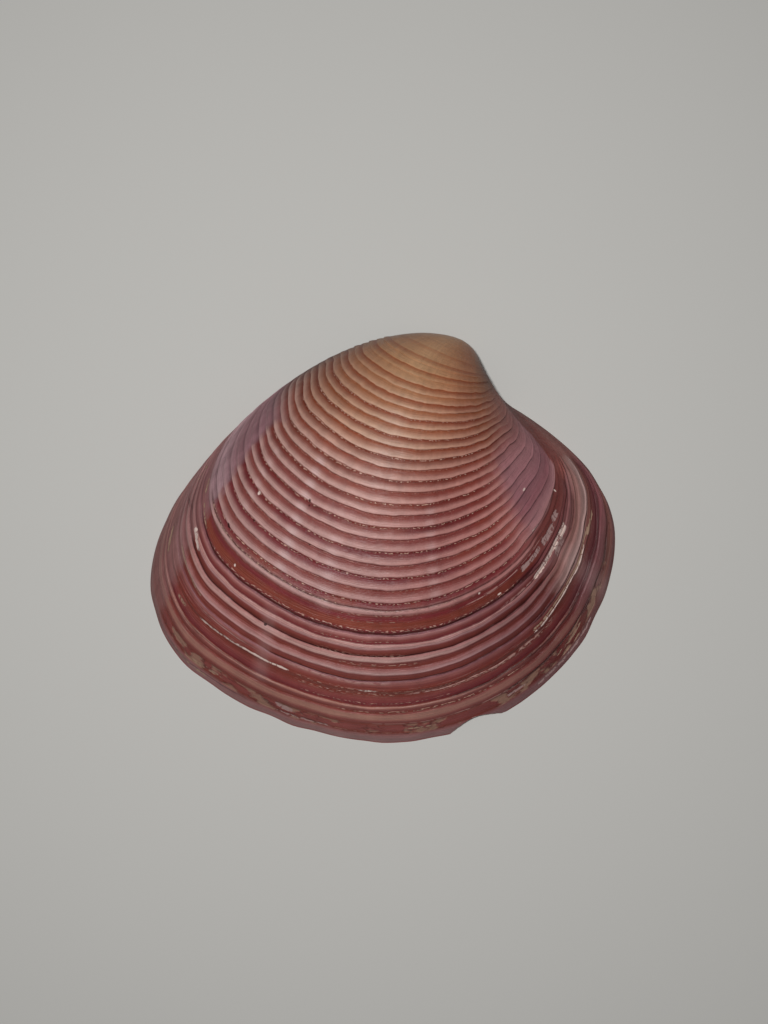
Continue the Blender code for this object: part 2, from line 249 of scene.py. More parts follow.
# Heights over the cut of the rim step, shelf, shelf edge and lowest wall, away from the hinge
OPEN_STEPS = (0.12, 0.3, 0.5, 0.7)
POCKET_REACH = 2.2
POCKET_LOWER = 0.4
POCKET_HIGH = 3.3
CAVITY_MIDDLE = np.array((-1.0, -7.5))
CAVITY_RINGS = (0.03, 0.06, 0.1, 0.16, 0.24, 0.33, 0.42, 0.52, 0.62, 0.72, 0.82, 0.91)
WALL_BLEND = 0.1
HINGE_START = (12.2, 13.0)
HINGE_STOP = (15.2, 17.4)
# Places under this one lie past the beak, and count on from the last place
BEFORE_REAR = -1.0
# Parts of the way at which rings lie on the rim, its step and the plate's edge, and rings across the plate
RIM_PARTS = (0.12, 0.4, 0.75, 1.0)
STEP_PARTS = (0.35, 0.7, 1.0)
EDGE_PARTS = (0.5, 1.0)
PLATE_RINGS = 15
# Hinge teeth: middle in the plan, direction, length, width and height
TEETH = [
    ((13.3, 11.6), -68.0, 3.4, 0.9, 0.75),
    ((10.9, 11.2), -98.0, 3.8, 1.0, 0.75),
    ((8.0, 11.5), -142.0, 4.6, 0.9, 0.75),
    ((-2.0, 11.7), -168.5, 11.0, 0.8, 0.55),
]
# A tooth's flank slopes between these parts of its width, from its middle
TOOTH_FLANK = (0.2, 0.62)

# Places that get a column of points, closer together where the outside shows its relief
PLACES = np.concatenate([
    np.arange(-3.0, -1.0, 0.1), np.arange(-1.0, 12.2, 0.08), np.arange(12.2, 14.95, 0.1),
])
LAST_PLACE = 15.0
PLAIN_SHARES = np.concatenate([[SMALLEST, 0.05, 0.075, 0.105, 0.14], np.linspace(0.18, 1.0, 60)])
SHARP_DEG = 55.0

# Camera straight above, lamp a little to the left of it, pale surroundings and the floor's half width
CAMERA_HEIGHT = 220.0
CAMERA_LENS = 59.94
SENSOR_WIDTH = 36.0
LAMP_PLACE = (-15.0, 20.0, 222.0)
LAMP_WIDTH = 18.0
LAMP_POWER = 0.315
SURROUNDINGS = 0.085
FLOOR_HALF = 900.0


def smooth_step(low, high, value):
    share = np.clip((value - low) / (high - low), 0.0, 1.0)
    return share * share * (3.0 - 2.0 * share)


def hump(value, rise, fall):
    """Nought, then one from the end of the rise to the start of the fall, and nought again."""
    return smooth_step(*rise, value) * (1.0 - smooth_step(*fall, value))


def between(first, second, share):
    return first + (second - first) * share


def lattice_noise(x, y, seed):
    """Smooth noise from -1 to 1 over a plane, with one random value at each pair of whole numbers."""
    size = 128
    grid = np.random.default_rng(seed).uniform(-1.0, 1.0, (size, size))
    column = np.floor(x).astype(int)
    row = np.floor(y).astype(int)
    across = smooth_step(0.0, 1.0, x - column)
    down = smooth_step(0.0, 1.0, y - row)
    near = between(grid[row % size, column % size], grid[row % size, (column + 1) % size], across)
    next_row = (row + 1) % size
    far = between(grid[next_row, column % size], grid[next_row, (column + 1) % size], across)
    return between(near, far, down)


def wave(place, share, size, place_length, share_length, seed):
    """Smooth waves of that size along the growth lines."""
    return size * lattice_noise(place / place_length, share / share_length, seed)


def margin_points(places):
    """Points of the margin and their outward directions, on a curve through all the margin points."""
    start = np.floor(places).astype(int)
    share = (places - start)[..., None]
    a, b, c, d = (MARGIN[(start + k) % len(MARGIN)] for k in (-1, 0, 1, 2))
    bend = 2.0 * a - 5.0 * b + 4.0 * c - d
    twist = 3.0 * b - a - 3.0 * c + d
    points = 0.5 * (2.0 * b + (c - a) * share + bend * share ** 2 + twist * share ** 3)
    along = (c - a) + 2.0 * bend * share + 3.0 * twist * share ** 2
    outward = np.stack([along[..., 1], -along[..., 0]], -1) / np.linalg.norm(along, axis=-1, keepdims=True)
    return points, outward


def turned(vectors, angles):
    """The vectors turned about the growth axis, so that the lower edge of the valve rises."""
    turn = math.radians(AXIS_TURN_DEG)
    lift = math.radians(AXIS_LIFT_DEG)
    axis = np.array([math.cos(turn) * math.cos(lift), -math.sin(turn) * math.cos(lift), math.sin(lift)])
    along = (vectors @ axis)[..., None] * axis
    across = vectors - along
    cosine = np.cos(angles)[..., None]
    sine = np.sin(angles)[..., None]
    return along + cosine * across + sine * np.cross(vectors, axis)


def growth_points(shares, places, heights=0.0):
    """Points of the growth lines at those shares, raised outwards in the plane of their line."""
    shares, places, heights = np.broadcast_arrays(shares, places, heights)
    points, outward = margin_points(places)
    from_middle = points - MARGIN_MIDDLE
    bearing = np.arctan2(from_middle[..., 1], from_middle[..., 0])
    young = (
        YOUNG_WIDER
        - YOUNG_FRONT_SHORTER * np.cos(bearing)
        + YOUNG_TALLER * np.sin(bearing)
        + YOUNG_SKEW * np.sin(2.0 * bearing)
    )
    reach = ((1.0 - shares) * young / np.linalg.norm(from_middle, axis=-1))[..., None]
    flat = points + reach * from_middle + outward * (heights / shares)[..., None]
    flat = np.concatenate([flat, np.zeros_like(flat[..., :1])], -1)
    slowness = -np.log(shares)
    angles = slowness / GROWTH_PER_TURN - GROWTH_SLOWING * slowness ** 2
    return BEAK + shares[..., None] * turned(flat - BEAK, angles)


def hollow_share(number):
    return RIB_START + RIB_STEP * number + RIB_WIDENING * number ** 2


def rib_number(share):
    """Number of the rib at a share of full growth, with its fraction."""
    inside = RIB_STEP ** 2 + 4.0 * RIB_WIDENING * (share - RIB_START)
    return (np.sqrt(np.maximum(inside, 0.0)) - RIB_STEP) / (2.0 * RIB_WIDENING)


def ribbing(place, share):
    """How far the flank's ribs and the front's plates are developed, from nought to one."""
    flank_end = YOUNG_FLANK_END + FLANK_END_SHIFT * smooth_step(*FLANK_END_SHARES, share)
    rear = smooth_step(flank_end - REAR_FADE, flank_end + FLANK_FADE, place)
    front = smooth_step(*PLATES_START, place)
    faint = hump(place, REAR_HINGE_FADE, FRONT_HINGE_FADE)
    ribs = np.maximum(rear * (1.0 - front), FAINT_RIBBING * faint * (1.0 - PLATES_HIDE * front))
    return ribs, front * (1.0 - smooth_step(*PLATES_END, place))


def outer_rows():
    """Share of growth and heights as rib and as plate of every row of the outside, from beak to margin."""
    rows = [(share, 0.0, 0.0) for share in np.linspace(SMALLEST, BEAK_ROWS_END, BEAK_ROWS)]
    for half_rib in range(FIRST_HALF_RIB, LAST_HALF_RIB + 1):
        edge = 0.5 * half_rib + RIB_EDGE
        strong = half_rib % 2 == 0
        growth = max(hollow_share(edge) / hollow_share(LAST_HALF_RIB / 2), RIBS_SMALLEST_SHARE)
        for step, height in RIB_SECTION:
            passed = 0.5 * step if strong else 0.5 + 0.5 * step
            rib = growth * height * (STRONG_RIB if strong else WEAK_RIB)
            plate = growth * STRONG_RIB * between(PLATE_LOWEST, 1.0, passed)
            rows.append((hollow_share(edge + 0.5 * step), rib, plate))
    ends = [rows[-1]] + [(share, height, height) for share, height in CHECKS] + [(1.0, 0.0, 0.0)]
    for row, next_row in zip(ends, ends[1:]):
        steps = max(2, round((next_row[0] - row[0]) / CHECK_ROW_SPACING))
        for step in range(1, steps + 1):
            part = step / steps
            rise = float(smooth_step(0.0, 1.0, part))
            heights = (between(*pair, rise) for pair in zip(row[1:], next_row[1:]))
            rows.append((between(row[0], next_row[0], part), *heights))
    return np.array(rows)


def end_share(place):
    """Share of growth that the margin reaches: all of it, less at the broken place."""
    off = (place - NOTCH_PLACE) / NOTCH_HALF_WIDTH
    return 1.0 - NOTCH_DEPTH * np.maximum(0.0, 1.0 - off ** 2)


def line_shift(share, place):
    """How far the growth lines stray from the even rule, as a share of growth."""
    stray = sum(size * hump(place, *places) * hump(share, *shares) for size, places, shares in STRAYS)
    waves = sum(wave(place, share, *one) for one in LINE_WAVES)
    ragged = smooth_step(*RAGGED_PLACES, place) + RAGGED_MARGIN * smooth_step(*RAGGED_SHARES, share)
    waves = waves + ragged * wave(place, share, *RAGGED_WAVE)
    return stray + waves * hump(share, *WAVE_SHARES) * hump(place, *WAVE_PLACES)


def flake_cover(share, place):
    """One within the larger flaked places and nought away from them."""
    cover = np.zeros(np.broadcast(share, place).shape)
    for start, share_there, end, share_here, half_width, strength in CHALKY_FLAKES + GREY_FLAKES:
        if half_width < DEEP_FLAKE:
            continue
        middle = share_there + (share_here - share_there) * (place - start) / (end - start)
        inner, outer = half_width - CHIP_EDGE[0], half_width + CHIP_EDGE[1]
        across = 1.0 - smooth_step(inner, outer, np.abs(share - middle))
        before, after = CHIP_END
        along = hump(place, (start - before, start + after), (end - after, end + before))
        cover = np.maximum(cover, across * along * strength)
    return cover


def line_keeping(share, place, height):
    """Change of share that keeps a raised point over its own growth line, seen from above."""
    level = growth_points(share, place)
    raised = growth_points(share, place, height)
    ahead = growth_points(share + SLOPE_REACH, place)
    along = (ahead - level)[..., :2] / SLOPE_REACH
    off = (raised - level)[..., :2]
    length = (along ** 2).sum(-1)
    flat = smooth_step(*STEEP_TO_FLAT, np.sqrt(length))
    change = (off * along).sum(-1) / np.maximum(length, SHORTEST_SLOPE)
    return -np.clip(change, -MOST_KEEPING, MOST_KEEPING) * flat


def outside():
    """Points of the outside, and the growth share that each point's colours follow."""
    rows = outer_rows()
    share = rows[:, :1]
    place = PLACES[None, :]
    nominal = np.minimum(share, end_share(place) - NOTCH_ROW_CLOSENESS * (1.0 - share))
    nominal = np.where(share > NOTCH_ROWS_START, nominal, share)
    ribs, plates = ribbing(place, share)
    uneven = 1.0 + sum(wave(place, share, *one) for one in RIB_WAVES)
    height = (rows[:, 1:2] * ribs + rows[:, 2:3] * plates) * uneven
    height = height - CHIP_DEPTH * flake_cover(nominal, place)
    height = height * (1.0 - smooth_step(*RELIEF_END, share))
    worn = MARGIN_WORN * (1.0 + wave(place, 0.0 * place, *WORN_WAVE)) * hump(place, *WORN_PLACES)
    height = height - worn * smooth_step(*WORN_SHARES, share)
    drawn = nominal + line_shift(nominal, place)
    drawn = drawn + line_keeping(drawn, place, height) * (1.0 - smooth_step(*WAVE_SHARES[1], share))
    points = growth_points(drawn, place, height)
    points[..., 2] = np.maximum(points[..., 2], LOWEST)
    return points, nominal


def hinge_share(place):
    """One along the hinge plate, nought round the open margin."""
    place = np.where(place < BEFORE_REAR, place + len(MARGIN), place)
    return hump(place, HINGE_START, HINGE_STOP)


def plain_outside():
    """The outside without its relief, for placing the inside under it."""
    points = growth_points(PLAIN_SHARES[:, None], PLACES[None, :])
    rows, columns = points.shape[:2]
    return BVHTree.FromPolygons(points.reshape(-1, 3).tolist(), ring_faces(rows, columns).tolist())


def ring_faces(rows, columns):
    """Four-sided faces between rings of points that follow each other."""
    row, column = np.meshgrid(np.arange(rows - 1), np.arange(columns), indexing="ij")
    after = (column + 1) % columns
    below = (row + 1) * columns
    faces = [row * columns + column, row * columns + after, below + after, below + column]
    return np.stack(faces, -1).reshape(-1, 4)


def roof_heights(tree, points):
    """Height of the inside over points of the plan: the outside, less the wall measured square to it."""
    heights = []
    for x, y in points:
        hit, normal, _, _ = tree.ray_cast(Vector((x, y, LOOK_UP_FROM)), Vector((0.0, 0.0, 1.0)))
        heights.append(0.0 if hit is None else max(hit.z - WALL / max(abs(normal.z), STEEPEST_WALL), 0.0))
    return np.array(heights)


def tooth_heights(points):
    """How far the hinge teeth stand down from the plate, over points of the plan."""
    total = np.zeros(len(points))
    for middle, direction, length, width, height in TEETH:
        turn = math.radians(direction)
        along = np.array((math.cos(turn), math.sin(turn)))
        across = np.array((-along[1], along[0]))
        off = points - np.array(middle)
        side = 1.0 - smooth_step(*(width * part for part in TOOTH_FLANK), np.abs(off @ across))
        end = 1.0 - smooth_step(0.5 * length - 0.5 * width, 0.5 * length, np.abs(off @ along))
        total = np.maximum(total, height * side * end)
    return total


def inside(edge):
    """Rings of the inside: flat rim, step up to the hinge plate, its edge, and rings up under the roof."""
    tree = plain_outside()
    margin, outward = margin_points(PLACES)
    hinge = hinge_share(PLACES)
    cut = edge[:, 2]
    rim_width = between(RIM_WIDTH, HINGE_RIM_WIDTH, hinge)
    plate_width = between(OPEN_SHELF_WIDTH + rim_width, HINGE_PLATE_WIDTH, hinge)
    rim_step, shelf, shelf_edge, low_wall = OPEN_STEPS
    rings = []

    def inset(width):
        return margin - outward * width[:, None]

    def add(flat, height):
        rings.append(np.column_stack([flat, height]))

    for part in RIM_PARTS:
        add(between(edge[:, :2], inset(rim_width), part), cut)
    low = cut + between(rim_step, HINGE_PLATE_LOW, hinge)
    for part in STEP_PARTS:
        add(inset(rim_width + RIM_STEP_WIDTH * part), between(cut, low, float(smooth_step(0.0, 1.0, part))))
    high = cut + between(shelf, HINGE_PLATE_LOW, hinge)
    for part in np.linspace(0.0, 1.0, PLATE_RINGS + 1)[1:]:
        flat = inset(between(rim_width + RIM_STEP_WIDTH, plate_width, part))
        add(flat, between(low, high, part) - tooth_heights(flat) * hinge)
    under = cut + between(shelf_edge, HINGE_PLATE_HIGH, hinge)
    for part in EDGE_PARTS:
        add(inset(plate_width + PLATE_EDGE_WIDTH * part), between(high, under, part))
    wall_flat = inset(plate_width + OPEN_SHELF_WIDTH - POCKET_REACH * hinge)
    wall_roof = roof_heights(tree, wall_flat)
    wall = np.maximum(wall_roof * (1.0 - POCKET_LOWER * hinge), cut + between(low_wall, POCKET_HIGH, hinge))
    add(wall_flat, wall)
    for share in CAVITY_RINGS:
        flat = between(wall_flat, CAVITY_MIDDLE, share)
        start = 1.0 - min(share / WALL_BLEND, 1.0)
        add(flat, roof_heights(tree, flat) + (wall - wall_roof) * start)
    top = (*CAVITY_MIDDLE, roof_heights(tree, [CAVITY_MIDDLE])[0])
    return np.array(rings), np.array(top)


def placed(points):
    """Points in millimetres, in the frame's metres, with the box's middle at the origin."""
    return (points - VALVE_MIDDLE) * MM


def nearest_mark(share, place, marks, soft):
    """Offset from the nearest thin mark in half widths, and that mark's strength there."""
    offset = np.zeros(share.shape)
    strength = np.zeros(share.shape)
    for start, share_there, end, share_here, half_width, full in marks:
        passed = np.clip((place - start) / (end - start), 0.0, 1.0)
        away = share - between(share_there, share_here, passed)
        cover = full * hump(place, (start - soft, start), (end, end + soft))
        cover = cover * (1.0 - smooth_step(*MARK_REACH, np.abs(away)))
        offset = np.where(cover > strength, away / half_width, offset)
        strength = np.maximum(strength, cover)
    return offset, strength


def broad_mark(share, place, marks, soft):
    """Cover of broad marks, with soft edges."""
    total = np.zeros(share.shape)
    for start, share_there, end, share_here, half_width, full in marks:
        passed = np.clip((place - start) / (end - start), 0.0, 1.0)
        away = np.abs(share - between(share_there, share_here, passed)) - half_width
        cover = full * hump(place, (start - soft, start + soft), (end - soft, end + soft))
        total = np.maximum(total, cover * (1.0 - smooth_step(-FLAKE_SOFT, FLAKE_SOFT, away)))
    return total


def rays_and_sheen_cover(share, place):
    """Cover of the pale streaks across the ribs, one of them a painted highlight."""
    total = np.zeros(share.shape)
    for middle, half_width, start, end, full in RAYS_AND_SHEEN:
        cover = 1.0 - smooth_step(RAY_CORE * half_width, half_width, np.abs(place - middle))
        cover = cover * hump(share, (start - RAY_FADE, start), (end, end + RAY_FADE))
        total = np.maximum(total, full * cover)
    return total


def set_attribute(mesh, name, values):
    attribute = mesh.attributes.new(name, "FLOAT", "CORNER")
    attribute.data.foreach_set("value", values.astype(np.float32))


def make_valve(materials):
    """The whole valve as one closed mesh, with its growth coordinates on the face corners."""
    outer, nominal = outside()
    inner, top = inside(outer[-1])
    rings = np.concatenate([outer, inner])
    rows, columns = rings.shape[:2]
    tip = outer[0].mean(0)
    points = placed(np.concatenate([rings.reshape(-1, 3), [tip, top]]))
    tip_index = rows * columns
    quads = ring_faces(rows, columns)[:, ::-1]
    column = np.arange(columns)
    after = (column + 1) % columns
    last = (rows - 1) * columns
    tip_fan = np.stack([column, after, np.full(columns, tip_index)], -1)
    top_fan = np.stack([last + after, last + column, np.full(columns, tip_index + 1)], -1)
    faces = quads.tolist() + tip_fan.tolist() + top_fan.tolist()
    mesh = bpy.data.meshes.new("shell")
    mesh.from_pydata(points.tolist(), [], faces)

    corners = np.concatenate([quads.reshape(-1), tip_fan.reshape(-1), top_fan.reshape(-1)])
    growth = np.concatenate([nominal.reshape(-1), np.ones(inner.shape[0] * columns), [0.0, 1.0]])
    place = np.append(np.tile(PLACES, rows), [0.0, 0.0])[corners]
    seam = np.zeros(len(corners), bool)
    crosses = (quads % columns == 0).any(1) & (quads % columns == columns - 1).any(1)
    seam[: quads.size] = np.repeat(crosses, 4)
    place[seam & (place == PLACES[0])] = LAST_PLACE
    from_margin = np.linalg.norm(inner[..., :2] - margin_points(PLACES)[0], axis=-1)
    depth = np.concatenate([np.zeros(nominal.size), from_margin.reshape(-1), [0.0, from_margin.max()]])
    set_attribute(mesh, "growth", growth[corners])
    set_attribute(mesh, "rib", rib_number(growth[corners]))
    set_attribute(mesh, "place", place)
    set_attribute(mesh, "depth", depth[corners])
    for name, marks in (("dark", DARK_LINES), ("pale", RIDGE_HIGHLIGHT_LINES), ("bead", GLINT_BEAD_LINES)):
        offset, strength = nearest_mark(growth[corners], place, marks, LINE_FADE)
        set_attribute(mesh, name + "_offset", offset)
        set_attribute(mesh, name + "_strength", strength)
    for name, marks in (("tan", TAN_FLAKES), ("grey", GREY_FLAKES), ("chalky", CHALKY_FLAKES)):
        set_attribute(mesh, name + "_flake", broad_mark(growth[corners], place, marks, FLAKE_END_SOFT))
    set_attribute(mesh, "ray_and_sheen", rays_and_sheen_cover(growth[corners], place))
    lines = mesh.uv_layers.new(name="lines")
    lines.data.foreach_set("uv", np.column_stack([place, growth[corners]]).astype(np.float32).ravel())
    inner_faces = np.zeros(len(faces), np.int32)
    inner_faces[(len(outer) - 1) * columns: len(quads)] = 1
    inner_faces[-columns:] = 1
    for material in materials:
        mesh.materials.append(material)
    mesh.polygons.foreach_set("material_index", inner_faces)
    mesh.shade_smooth()
    mesh.set_sharp_from_angle(angle=math.radians(SHARP_DEG))
    mesh.validate()
    valve = bpy.data.objects.new("shell", mesh)
    bpy.context.scene.collection.objects.link(valve)
    return valve


# How much brighter a colour is painted than it looks on screen, to make up for the studio's soft light
PAINT_GAIN = 1.45


def paint(red, green, blue):
    """A colour given as it looks on screen, from 0 to 255, as a linear colour."""
    channels = np.array((red, green, blue)) / 255.0
    linear = np.where(channels > 0.04045, ((channels + 0.055) / 1.055) ** 2.4, channels / 12.92)
    return (*np.clip(linear * PAINT_GAIN, 0.0, 1.0), 1.0)


def painted(*stops):
    """Stops of a ramp, each given as its value and a colour as it looks on screen."""
    return [(value, paint(*colour)) for value, *colour in stops]


def toned(*stops):
    """Stops of a ramp, each given as its value and how much red, green and blue are kept."""
    return [(value, (*kept, 1.0)) for value, *kept in stops]


# Colours of the outside
TAN_TIP = paint(144, 106, 78)
TAN = paint(158, 120, 90)
PALE_TAN = paint(170, 134, 112)
PALE_CREAM = paint(178, 144, 124)
PALE_PINK = paint(177, 141, 130)
PINK = paint(178, 140, 134)
MAUVE_PINK = paint(174, 135, 132)
DUSTY_PINK = paint(150, 102, 98)
PALE_CREST = paint(170, 132, 125)
BROWN_TAN = paint(138, 86, 58)
RUST = paint(118, 56, 36)
DARK_RUST = paint(104, 46, 32)
RED_BROWN = paint(108, 50, 42)
MAROON = paint(98, 33, 35)
WINE = paint(108, 42, 46)
ROSE_BROWN = paint(118, 60, 56)
ORANGE_BROWN = paint(116, 56, 44)
DEEP_BROWN = paint(84, 38, 35)
TAN_ROSE = paint(146, 102, 90)
PLUM = paint(118, 74, 78)
DUSTY_ROSE = paint(134, 84, 81)
TAN_RED = paint(132, 78, 72)
DULL_ROSE = paint(128, 90, 88)
DULL_MAUVE = paint(128, 94, 92)
DARK_LINE = paint(54, 23, 22)
CHALK = paint(196, 174, 166)
CREAM = paint(146, 118, 100)
ASH = paint(148, 120, 117)
# GLINT is a painted highlight, laid on the tiny beads and in the rib hollows
GLINT = paint(208, 168, 150)

# Crests and hollows of the ribs, by share of growth. The hollows of strong ribs are darker.
CREST_COLOURS = [
    (0.1, TAN_TIP), (0.24, TAN), (0.31, PALE_TAN), (0.38, PALE_CREAM), (0.44, PALE_PINK), (0.52, PINK),
    (0.7, MAUVE_PINK),
]
STRONG_HOLLOWS = [
    (0.14, TAN_TIP), (0.22, BROWN_TAN), (0.34, RUST), (0.42, DARK_RUST), (0.48, RED_BROWN), (0.56, MAROON),
    (0.66, WINE),
]
WEAK_HOLLOWS = [
    (0.14, TAN_TIP), (0.23, TAN), (0.31, BROWN_TAN), (0.4, RUST), (0.52, ROSE_BROWN), (0.7, ROSE_BROWN),
]
# Shades by the part that is passed: of half a rib, from hollow to crest, on the young and the grown flank,
# and of a strong and a weak rib together, on the rear slope and on the front's plates
YOUNG_CREST = [(0.0, 0.08), (0.12, 0.0), (0.5, 0.42), (0.8, 0.88), (0.93, 1.0), (1.0, 0.4)]
GROWN_CREST = [
    (0.0, 0.02), (0.14, 0.0), (0.34, 0.07), (0.5, 0.36), (0.68, 0.82), (0.82, 1.0), (0.91, 0.95), (1.0, 0.12),
]
REAR_SHADES = [(0.0, 0.3), (0.08, 0.25), (0.22, 0.48), (0.6, 0.5), (0.9, 0.62), (1.0, 0.35)]
PLATE_SHADES = [
    (0.0, 0.3), (0.05, 0.34), (0.12, 0.72), (0.35, 0.8), (0.8, 0.92), (0.95, 1.0), (0.985, 0.8), (1.0, 0.35),
]
PLAIN_PLATE = 0.85

# Colours by share of growth, on the rear slope, on the front's plates and on the lunule
REAR_COLOURS = painted(
    (0.2, 72, 52, 43), (0.34, 90, 64, 60), (0.42, 100, 70, 70), (0.52, 122, 88, 94), (0.6, 124, 90, 95),
    (0.66, 146, 116, 121), (0.7, 138, 108, 112), (0.75, 114, 80, 81), (0.8, 128, 95, 96),
    (0.86, 136, 104, 103), (0.92, 130, 94, 93), (0.97, 124, 92, 89), (1.0, 106, 74, 70),
)
FRONT_COLOURS = painted(
    (0.24, 88, 62, 53), (0.34, 122, 80, 74), (0.43, 126, 82, 82), (0.5, 142, 98, 102), (0.58, 126, 84, 90),
    (0.62, 118, 74, 80), (0.66, 140, 99, 102), (0.68, 134, 94, 94), (0.687, 100, 50, 47), (0.705, 97, 44, 40),
    (0.73, 106, 59, 57), (0.746, 102, 56, 56), (0.752, 112, 66, 66), (0.775, 122, 80, 80),
    (0.8, 126, 86, 80), (0.815, 136, 98, 93), (0.845, 160, 131, 127), (0.854, 110, 70, 64),
    (0.88, 86, 41, 40), (0.9, 84, 42, 46), (0.925, 106, 62, 65), (0.946, 106, 66, 68), (0.952, 88, 48, 45),
    (0.972, 102, 65, 58), (0.985, 100, 64, 64), (1.0, 92, 58, 55),
)
LUNULE_COLOURS = painted(
    (0.2, 78, 45, 40), (0.45, 90, 49, 46), (0.58, 100, 52, 48), (0.7, 106, 54, 50), (0.76, 116, 64, 59),
    (0.84, 120, 78, 73), (0.9, 112, 68, 64), (0.95, 124, 84, 80), (0.975, 122, 84, 80), (1.0, 104, 66, 62),
)
# How far past its first place the lunule starts, halved, by share of growth
LUNULE_FIRST_PLACE = 9.9
LUNULE_EDGE = [
    (0.3, 0.6), (0.58, 0.56), (0.66, 0.36), (0.7, 0.26), (0.75, 0.26), (0.79, 0.52), (0.83, 0.64),
    (1.0, 0.72),
]
# Painted light and shade across the flank, near the beak, on the ribs and at the margin: the colours deepen
# from the flank's middle to its sides as painted shade, and turn paler at the middle as a painted sheen
YOUNG_PAINTED_SHADING = toned(
    (-1.0, 0.36, 0.3, 0.31), (1.3, 0.62, 0.56, 0.58), (2.0, 0.74, 0.66, 0.64), (3.5, 0.97, 0.93, 0.9),
    (5.0, 1.08, 1.12, 1.12), (6.5, 1.0, 0.9, 0.86), (8.0, 0.76, 0.6, 0.6), (9.5, 0.64, 0.52, 0.5),
    (12.0, 0.45, 0.34, 0.34),
)
RIB_PAINTED_SHADING = toned(
    (0.0, 0.8, 0.78, 0.82), (2.0, 0.86, 0.86, 0.84), (3.5, 1.0, 1.0, 1.0), (5.0, 0.99, 0.95, 0.94),
    (6.5, 0.82, 0.63, 0.62), (8.0, 0.8, 0.59, 0.58), (9.0, 0.84, 0.66, 0.66), (12.0, 0.74, 0.56, 0.56),
)
MARGIN_PAINTED_SHADING = toned(
    (0.0, 0.78, 0.7, 0.72), (1.4, 0.86, 0.78, 0.78), (2.2, 1.0, 0.97, 0.99), (3.5, 1.0, 0.96, 0.97),
    (5.0, 1.14, 1.2, 1.22), (6.5, 0.9, 0.87, 0.92), (8.0, 0.6, 0.5, 0.55), (9.0, 0.64, 0.52, 0.55),
    (12.0, 0.7, 0.54, 0.54),
)
# Bands between the last rib and the margin, each with a dark upper edge and a paler lower part, in two ramps,
# because one holds 32 stops at most
BANDS = [
    [
        (0.69, MAROON), (0.693, MAUVE_PINK), (0.698, MAUVE_PINK), (0.704, ROSE_BROWN), (0.711, WINE),
        (0.72, ORANGE_BROWN), (0.73, ORANGE_BROWN), (0.736, WINE), (0.7405, DEEP_BROWN), (0.743, PLUM),
        (0.7475, DUSTY_PINK), (0.754, ROSE_BROWN), (0.761, WINE), (0.764, PALE_CREST), (0.7658, DUSTY_PINK),
        (0.7675, PALE_CREST), (0.769, DUSTY_PINK), (0.771, MAUVE_PINK), (0.775, ROSE_BROWN),
        (0.782, RED_BROWN), (0.7872, DEEP_BROWN), (0.7895, DUSTY_PINK), (0.796, PALE_CREST),
        (0.799, PALE_CREST), (0.8015, ROSE_BROWN), (0.8115, RED_BROWN), (0.814, ROSE_BROWN),
        (0.819, DUSTY_PINK), (0.8262, MAUVE_PINK), (0.829, ROSE_BROWN),
    ],
    [
        (0.829, ROSE_BROWN), (0.84, RED_BROWN), (0.844, PLUM), (0.847, DUSTY_ROSE), (0.852, TAN_RED),
        (0.856, ROSE_BROWN), (0.862, RED_BROWN), (0.876, RED_BROWN), (0.884, ROSE_BROWN), (0.899, WINE),
        (0.902, RED_BROWN), (0.9045, TAN_ROSE), (0.912, ROSE_BROWN), (0.919, RED_BROWN), (0.9215, ROSE_BROWN),
        (0.926, TAN_ROSE), (0.935, TAN_ROSE), (0.942, ROSE_BROWN), (0.948, RED_BROWN), (0.956, ROSE_BROWN),
        (0.965, ROSE_BROWN), (0.972, RED_BROWN), (0.98, DULL_ROSE), (0.995, DULL_MAUVE), (1.0, ROSE_BROWN),
    ],
]
# Shares over which the ribs give way to the bands, in colour and in the painted side shading, and young ribs
# to grown ones
RIBS_END = (0.6895, 0.691)
RIBS_TO_BANDS = (0.69, 0.74)
YOUNG_TO_GROWN = (0.4, 0.5)
YOUNG_TO_GROWN_PAINTED_SHADING = (0.36, 0.5)
# Some hollows are browner, in clouds, and those towards the front fade: where, in share, and how much
BROWN_CLOUDS = (-0.02, 0.16, 0.0, 0.7)
BROWN_SHARES = (0.4, 0.48)
FADED_PLACES = (7.8, 9.0, 0.0, 0.6)
FADED_SHARES = (0.44, 0.48)
# Painted glints in the rib hollows: part of the half rib, places and shares, each with its soft end, and how
# much of them the weak hollows get
GLINT_PART = (0.04, 0.12, 0.03)
GLINT_PLACES = (2.2, 8.2, 0.8)
GLINT_SHARES = (0.33, 0.69, 0.04)
WEAK_GLINT = 0.25
# Edges of the rear slope and of the plates, on the young and the grown shell: places, and cover at their ends
YOUNG_REAR_EDGE = (-0.9, 1.0, 0.75, 0.0)
REAR_EDGE = (1.36, 1.62, 0.94, 0.0)
YOUNG_PLATES_EDGE = (8.6, 10.4, 0.0, 0.9)
PLATES_EDGE = (8.5, 9.15, 0.0, 0.94)
# Past these shares the rear slope is less distinct
REAR_WEAKENS = (0.69, 0.71, 1.0, 0.55)
# Painted light and shade over places, with their strength at the ends: on the young and the grown rear slope
# and on the lunule
YOUNG_REAR_LIGHT = (-0.6, 1.2, 0.3, 1.0)
REAR_LIGHT = (-0.2, 0.8, 1.45, 1.0)
LUNULE_LIGHT = (11.3, 12.2, 1.1, 0.84)
# How much of a mark's colour covers the skin
GLINT_COVER = 0.62
CRACK_COVER = 0.6
SCALE_COVER = 0.55
FLAKE_COVER = 0.92

# Colour of the pale streaks and of the painted highlight among them
RAY_AND_SHEEN = paint(196, 168, 166)
